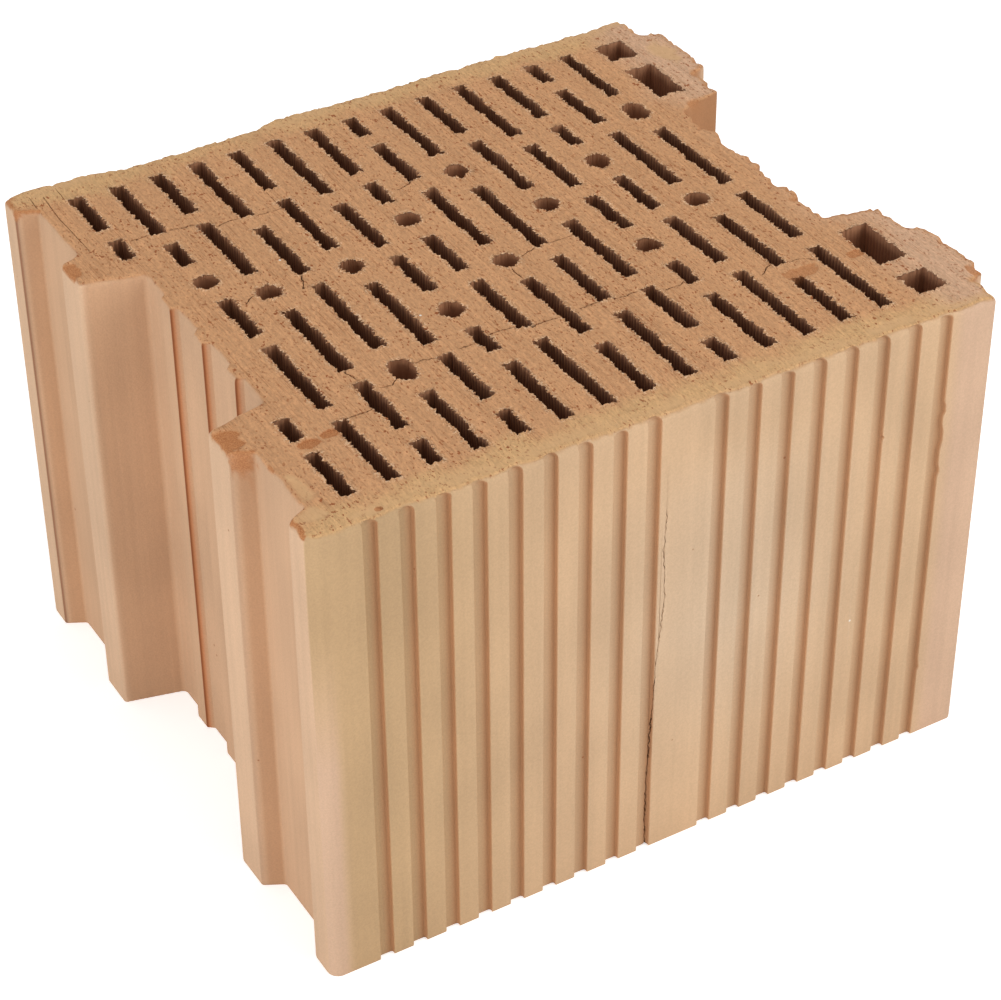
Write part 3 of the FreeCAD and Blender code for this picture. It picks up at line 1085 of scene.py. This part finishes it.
def build_block():
    """The whole block as one closed mesh."""
    mesh = ClayMesh()
    outlines = top_outlines(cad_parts[NODE])
    outer = simplified(outlines[0])
    # The outline starts at the back, at the corner nearest its middle.
    start = np.argmax(outer[:, 1] - START_TIE * np.abs(outer[:, 0]))
    wall = OuterWall(np.roll(outer, -start, axis=0))
    crack_line = [(wall.along_front(x), z) for x, z in FRONT_CRACK]
    front_crack = CrackLine(
        crack_line, FRONT_CRACK_HALF_WIDTHS, FRONT_CRACK_SEED, darkness=FRONT_CRACK_DARKNESS
    )
    top_rings, bottom_rings = ([row] for row in add_outer_wall(mesh, wall, front_crack))
    for number, outline in enumerate(outlines[1:]):
        top_ring, bottom_ring = add_hole(mesh, outline, number)
        top_rings.append(top_ring)
        bottom_rings.append(bottom_ring)

    plain_rings = [divided(simplified(outline), HOLE_SPACING) for outline in outlines[1:]]
    clearance = Clearance([top_rings[0][1], *plain_rings])
    grid = jittered_grid(TOP_SPACING, TOP_GRID_SEED)
    grid = grid[clearance.inside(grid, EDGE_CLEARANCE)]
    cracks = []
    for number, corners in enumerate(TOP_CRACKS):
        seed = TOP_CRACK_SEED + SEEDS_PER_CRACK * number
        cracks.append(CrackLine(corners, 2 * [TOP_CRACK_HALF_WIDTH], seed))
    for number, corners in enumerate(SCRATCHES):
        seed = SCRATCH_SEED + SEEDS_PER_CRACK * number
        cracks.append(CrackLine(corners, 2 * [SCRATCH_HALF_WIDTH], seed, SCRATCH_WANDER, SCRATCH_DARKNESS))
    crack_points, crack_edges = strand_points(cracks, clearance)
    borders = chip_border_points()
    borders = borders[clearance.inside(borders, BORDER_CLEARANCE)]
    inner = np.concatenate([crack_points, speck_points(TOP_SPECKS), borders, grid])

    def crack_depth(places):
        return np.max([crack.darkness * crack.depth(places) for crack in cracks], axis=0)

    def top_height(places):
        _, drop = chip_share(places)
        return TOP + top_relief(places) - drop - TOP_CRACK_DEPTH * crack_depth(places)

    def top_marks(places):
        chip, _ = chip_share(places)
        return {
            "cut": 1.0,
            "chip": chip,
            "crack": crack_depth(places),
            "lime": speck_share(places, TOP_SPECKS),
            "sand": sand_share(places),
            "smear": smear_share(places),
            "dust": pale_share(places),
        }

    def bottom_height(places):
        return np.zeros(len(places))

    def bottom_marks(places):
        return {"cut": np.ones(len(places))}

    add_face(mesh, top_rings, inner, crack_edges, top_height, top_marks, True)
    bottom_grid = jittered_grid(BOTTOM_SPACING, BOTTOM_GRID_SEED)
    bottom_grid = bottom_grid[clearance.inside(bottom_grid, EDGE_CLEARANCE)]
    add_face(mesh, bottom_rings, bottom_grid, [], bottom_height, bottom_marks, False)
    return mesh.object("clay_block_fired")


class Shading:
    """Short ways to add nodes to a material."""

    def __init__(self, material):
        self.tree = material.node_tree

    def node(self, kind, inputs=None, **settings):
        made = self.tree.nodes.new(kind)
        for name, value in settings.items():
            setattr(made, name, value)
        for name, value in (inputs or {}).items():
            self.give(made.inputs[name], value)
        return made

    def give(self, socket, value):
        if isinstance(value, bpy.types.NodeSocket):
            self.tree.links.new(value, socket)
        else:
            socket.default_value = value

    def mark(self, name):
        return self.node("ShaderNodeAttribute", attribute_name=name).outputs["Fac"]

    def math(self, operation, first, second, clamp=False):
        made = self.node("ShaderNodeMath", {0: first, 1: second}, operation=operation, use_clamp=clamp)
        return made.outputs[0]

    def times(self, first, second):
        return self.math("MULTIPLY", first, second)

    def plus(self, first, second):
        return self.math("ADD", first, second)

    def stretched(self, place, cell_size):
        """The place counted in cells of the given size in millimetres."""
        scale = [1 / (size * METRE) for size in cell_size]
        return self.node("ShaderNodeVectorMath", {0: place, 1: scale}, operation="MULTIPLY").outputs[0]

    def noise(self, place, cell_size, detail):
        inputs = {"Vector": self.stretched(place, cell_size), "Scale": 1.0, "Detail": detail}
        return self.node("ShaderNodeTexNoise", inputs).outputs["Fac"]

    def cell_distance(self, place, cell_size):
        inputs = {"Vector": self.stretched(place, cell_size), "Scale": 1.0}
        return self.node("ShaderNodeTexVoronoi", inputs).outputs["Distance"]

    def ramp(self, value, start, end, low=0.0, high=1.0):
        inputs = {"Value": value, "From Min": start, "From Max": end, "To Min": low, "To Max": high}
        return self.node("ShaderNodeMapRange", inputs).outputs["Result"]

    def mix(self, kind, share, first, second):
        """The first value or colour, and the second one where the share is 1."""
        mixed = self.node("ShaderNodeMix", data_type=kind)
        inputs = [socket for socket in mixed.inputs if socket.enabled]
        for socket, value in zip(inputs, (share, first, second)):
            self.give(socket, value)
        return next(socket for socket in mixed.outputs if socket.enabled)

    def blend(self, share, first, second):
        return self.mix("RGBA", share, first, second)

    def seen_directly(self):
        """1 for what the camera sees, straight or in gloss or glass, and 0 for what lights the object."""
        path = self.node("ShaderNodeLightPath")
        seen = self.math("MAXIMUM", path.outputs["Is Camera Ray"], path.outputs["Is Glossy Ray"])
        return self.math("MAXIMUM", seen, path.outputs["Is Transmission Ray"])

    def mottled(self, colour, noises, extremes):
        """The colour made darker and lighter by each of the named noises."""
        for name, (dark, light) in extremes.items():
            factor = self.ramp(noises[name], *NOISE_RANGE, dark, light)
            made = self.node("ShaderNodeVectorMath", {0: colour, "Scale": factor}, operation="SCALE")
            colour = made.outputs[0]
        return colour


# Colours of the clay: its sides, its cut faces, its hollows and its broken places, with painted shade among
# them.
TAN = (0.63, 0.418, 0.25, 1)
PINK = (0.65, 0.43, 0.29, 1)
YELLOW = (0.517, 0.338, 0.180, 1)
DUSTY = (0.67, 0.485, 0.325, 1)
# Bare clay with painted shade, for the grooves, the end recesses and their flanks.
BARE_AND_SHADE = (0.46, 0.23, 0.11, 1)
# Painted shade on the left end's flanks, and the painted shadow line along their edges (the seam mark).
ORANGE = (0.55, 0.20, 0.075, 1)
EDGE_SHADOW_DARK = (0.20, 0.06, 0.022, 1)
CUT_CLAY = (0.59, 0.310, 0.151, 1)
CUT_PALE = (0.63, 0.385, 0.24, 1)
CUT_SAND = (0.63, 0.378, 0.178, 1)
CRUMBS = (0.74, 0.49, 0.30, 1)
SMOOTHED = (0.64, 0.392, 0.198, 1)
FLECK = (0.32, 0.105, 0.036, 1)
STREAK = (0.37, 0.155, 0.062, 1)
# The hole walls' clay with painted shade: the gap colour is painted shade in the comb's gaps.
HOLLOW_RIB = (0.44, 0.19, 0.092, 1)
HOLLOW_GAP = (0.16, 0.062, 0.036, 1)
BROKEN = (0.38, 0.138, 0.048, 1)
BROKEN_PALE = (0.55, 0.245, 0.10, 1)
# Painted shade inside the cracks; the scratches take it at less strength.
CRACK_DARK = (0.05, 0.022, 0.010, 1)
LIME = (0.86, 0.82, 0.74, 1)


# The clay's noises, with cell sizes in millimetres and detail, and how dark and light some make it.
NOISES = {
    "cloud": ((38, 38, 60), 1.0),
    "streak": ((4, 4, 160), 2.0),
    "grain": ((0.8, 0.8, 0.8), 1.0),
    "patch": ((9, 30, 9), 2.0),
    "drag": ((0.55, 20, 9), 3.0),
    "scrape": ((1.7, 70, 9), 1.0),
    "tear": ((1.1, 3.0, 2), 2.0),
    "crumb": ((0.8, 1.0, 1), 1.0),
    "crowd": ((15, 22, 9), 2.0),
    "small_fleck": ((1.2, 2.4, 2), 2.5),
    "large_fleck": ((2.2, 3.2, 3), 3.0),
    "broken": ((0.6, 0.6, 0.6), 1.0),
}
NOISE_RANGE = (0.3, 0.7)
SIDE_MOTTLES = {"cloud": (0.94, 1.06), "streak": (0.965, 1.035), "grain": (0.955, 1.045)}
CUT_MOTTLES = {"scrape": (0.93, 1.07), "tear": (0.88, 1.12), "crumb": (0.94, 1.07)}
SAND_TINT = 0.9
DOT_CELLS = (26, 26, 26)
DOT_RANGE = (0.028, 0.018)
DOT_TINT = 0.7
CRUMB_RANGE = (0.50, 0.60)
PATCH_RANGE = (0.36, 0.60)
DRAG_RANGE = (0.55, 0.66)
DRAG_TINTS = (0.6, 0.25)
CROWD_RANGE = (0.42, 0.58)
CROWD_SHARES = (0.5, 1.0)
SMALL_FLECK_RANGE = (0.62, 0.655)
LARGE_FLECK_RANGE = (0.645, 0.685)
SMEAR_TINT = 0.75
CRACK_TINT = 1.6
CLAY_ROUGHNESS = 0.9
CLAY_SPECULAR = 0.2
GRAIN_RELIEF = 0.08
STREAK_RELIEF = 0.15
CRUMB_RELIEF = 0.35
TEAR_RELIEF = 0.8
TORN_RIM_RELIEF = 0.7
TORN_RIM_MEAN = 1.05
SMEARED_RELIEF = 0.35
RELIEF_DISTANCE = 1.1
RELIEF_STRENGTH = 0.9


def side_colour(shading, noises, place):
    """The smooth sides with their tints, painted shade, clouds, streaks and a few dark dots."""
    colour = shading.blend(shading.mark("blush"), TAN, PINK)
    colour = shading.blend(shading.times(shading.mark("sand"), SAND_TINT), colour, YELLOW)
    # Bare clay with painted shade, painted shade on the left end's flanks, and the seam mark's painted
    # shadow line along their edges.
    for mark, tint in (("dust", DUSTY), ("bare_and_shade", BARE_AND_SHADE), ("flank_shade", ORANGE), ("seam", EDGE_SHADOW_DARK)):
        colour = shading.blend(shading.mark(mark), colour, tint)
    colour = shading.mottled(colour, noises, SIDE_MOTTLES)
    dot = shading.ramp(shading.cell_distance(place, DOT_CELLS), *DOT_RANGE)
    return shading.blend(shading.times(dot, DOT_TINT), colour, FLECK)


def cut_colour(shading, noises):
    """The wire-cut faces with crumbs at the rims, drag lines, flecks and smears."""
    colour = shading.blend(shading.mark("sand"), CUT_CLAY, CUT_SAND)
    colour = shading.blend(shading.mark("dust"), colour, CUT_PALE)
    crumbs = shading.times(shading.mark("rim"), shading.ramp(noises["crumb"], *CRUMB_RANGE))
    colour = shading.blend(crumbs, colour, CRUMBS)
    patch = shading.ramp(noises["patch"], *PATCH_RANGE)
    line = shading.times(shading.ramp(noises["drag"], *DRAG_RANGE), patch)
    line = shading.times(line, shading.ramp(shading.mark("sand"), 0, 1, *DRAG_TINTS))
    colour = shading.blend(line, colour, STREAK)
    colour = shading.mottled(colour, noises, CUT_MOTTLES)
    small = shading.ramp(noises["small_fleck"], *SMALL_FLECK_RANGE)
    large = shading.ramp(noises["large_fleck"], *LARGE_FLECK_RANGE)
    crowd = shading.ramp(noises["crowd"], *CROWD_RANGE, *CROWD_SHARES)
    colour = shading.blend(shading.times(shading.math("MAXIMUM", small, large), crowd), colour, FLECK)
    return shading.blend(shading.times(shading.mark("smear"), SMEAR_TINT), colour, SMOOTHED)


def clay_relief(shading, noises):
    """The finest relief: grainy sides, and torn cut faces that are calm where they are smeared."""
    side = shading.plus(
        shading.times(noises["grain"], GRAIN_RELIEF), shading.times(noises["streak"], STREAK_RELIEF)
    )
    cut = shading.plus(
        shading.times(noises["crumb"], CRUMB_RELIEF), shading.times(noises["tear"], TEAR_RELIEF)
    )
    torn_rim = shading.math("SUBTRACT", shading.plus(noises["crumb"], noises["tear"]), TORN_RIM_MEAN)
    torn_rim = shading.times(shading.mark("rim"), torn_rim)
    cut = shading.plus(cut, shading.times(torn_rim, TORN_RIM_RELIEF))
    cut = shading.times(cut, shading.ramp(shading.mark("smear"), 0, 1, 1.0, SMEARED_RELIEF))
    return shading.mix("FLOAT", shading.mark("cut"), side, cut)


def clay_material():
    """Fired clay: smooth die-drawn sides, torn wire-cut faces, hollows and cracks dark with painted shade,
    and chips.
    """
    material = bpy.data.materials.new("fired_clay_surface")
    material.use_nodes = True
    shading = Shading(material)
    place = shading.node("ShaderNodeTexCoord").outputs["Object"]
    noises = {name: shading.noise(place, *kind) for name, kind in NOISES.items()}
    colour = shading.blend(
        shading.mark("cut"), side_colour(shading, noises, place), cut_colour(shading, noises)
    )
    # The hollow colour: the walls' clay with painted shade, darkest in the comb's gaps.
    hollow = shading.blend(shading.mark("rib"), HOLLOW_GAP, HOLLOW_RIB)
    colour = shading.blend(shading.mark("hollow"), colour, hollow)
    broken = shading.blend(shading.ramp(noises["broken"], *NOISE_RANGE), BROKEN, BROKEN_PALE)
    colour = shading.blend(shading.mark("chip"), colour, broken)
    # Painted shade inside the cracks and, weaker, along the scratches.
    crack = shading.math("MULTIPLY", shading.mark("crack"), CRACK_TINT, clamp=True)
    colour = shading.blend(crack, colour, CRACK_DARK)
    colour = shading.blend(shading.mark("lime"), colour, LIME)
    bump = shading.node("ShaderNodeBump", {
        "Height": clay_relief(shading, noises),
        "Distance": RELIEF_DISTANCE * METRE,
        "Strength": RELIEF_STRENGTH,
    })
    surface = material.node_tree.nodes["Principled BSDF"]
    surface.inputs["Roughness"].default_value = CLAY_ROUGHNESS
    surface.inputs["Specular IOR Level"].default_value = CLAY_SPECULAR
    shading.give(surface.inputs["Base Color"], colour)
    shading.give(surface.inputs["Normal"], bump.outputs["Normal"])
    return material


def floor_material():
    """A matt white floor that shows the camera a little more than the lamps' white, shadows kept."""
    material = bpy.data.materials.new("floor_white")
    material.use_nodes = True
    surface = material.node_tree.nodes["Principled BSDF"]
    surface.inputs["Base Color"].default_value = FLOOR_COLOUR
    surface.inputs["Roughness"].default_value = FLOOR_ROUGHNESS
    surface.inputs["Specular IOR Level"].default_value = 0.0
    surface.inputs["Emission Color"].default_value = WHITE
    shading = Shading(material)
    glow = shading.times(shading.seen_directly(), FLOOR_GLOW)
    shading.give(surface.inputs["Emission Strength"], glow)
    return material


def add_floor():
    """A round pale floor under the block, which ends where the lamps still light it."""
    mesh = bpy.data.meshes.new("floor")
    turns = np.arange(FLOOR_SIDES) * math.tau / FLOOR_SIDES
    corners = [(FLOOR_RADIUS * math.cos(turn), FLOOR_RADIUS * math.sin(turn), 0) for turn in turns]
    mesh.from_pydata(corners, [], [range(FLOOR_SIDES)])
    floor = bpy.data.objects.new("floor", mesh)
    mesh.materials.append(floor_material())
    bpy.context.scene.collection.objects.link(floor)


def add_lamp(name, place, size, watts):
    """A soft square lamp aimed at the block."""
    data = bpy.data.lights.new(name, "AREA")
    data.size = size
    data.energy = watts
    lamp = bpy.data.objects.new(name, data)
    lamp.location = place
    aim = Vector(LAMP_TARGET) - lamp.location
    lamp.rotation_euler = aim.to_track_quat("-Z", "Y").to_euler()
    bpy.context.scene.collection.objects.link(lamp)


def add_light():
    """Soft studio light: the lamps and an even white sky."""
    for name, lamp in LAMPS.items():
        add_lamp(name, **lamp)
    world = bpy.data.worlds.new("studio")
    bpy.context.scene.world = world
    world.use_nodes = True
    background = world.node_tree.nodes["Background"]
    background.inputs["Color"].default_value = WHITE
    shading = Shading(world)
    strength = shading.ramp(shading.seen_directly(), 0, 1, SKY_LIGHT, 1)
    shading.give(background.inputs["Strength"], strength)


def add_camera():
    """The photograph's view."""
    data = bpy.data.cameras.new("camera")
    data.lens = CAMERA_LENS
    data.sensor_width = SENSOR_WIDTH
    data.clip_start = CLIP_START * METRE
    camera = bpy.data.objects.new("camera", data)
    place = Vector(CAMERA_PLACE) * METRE
    aim = (Vector(CAMERA_TARGET) * METRE - place).to_track_quat("-Z", "Y").to_matrix()
    roll = Matrix.Rotation(math.radians(CAMERA_ROLL), 3, "Z")
    camera.matrix_world = Matrix.Translation(place) @ (aim @ roll).to_4x4()
    bpy.context.scene.collection.objects.link(camera)
    bpy.context.scene.camera = camera


block = build_block()
block.data.materials.append(clay_material())
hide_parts(NODE)
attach(block, BODY)
add_floor()
add_light()
add_camera()
bpy.context.scene.view_settings.view_transform = "Standard"
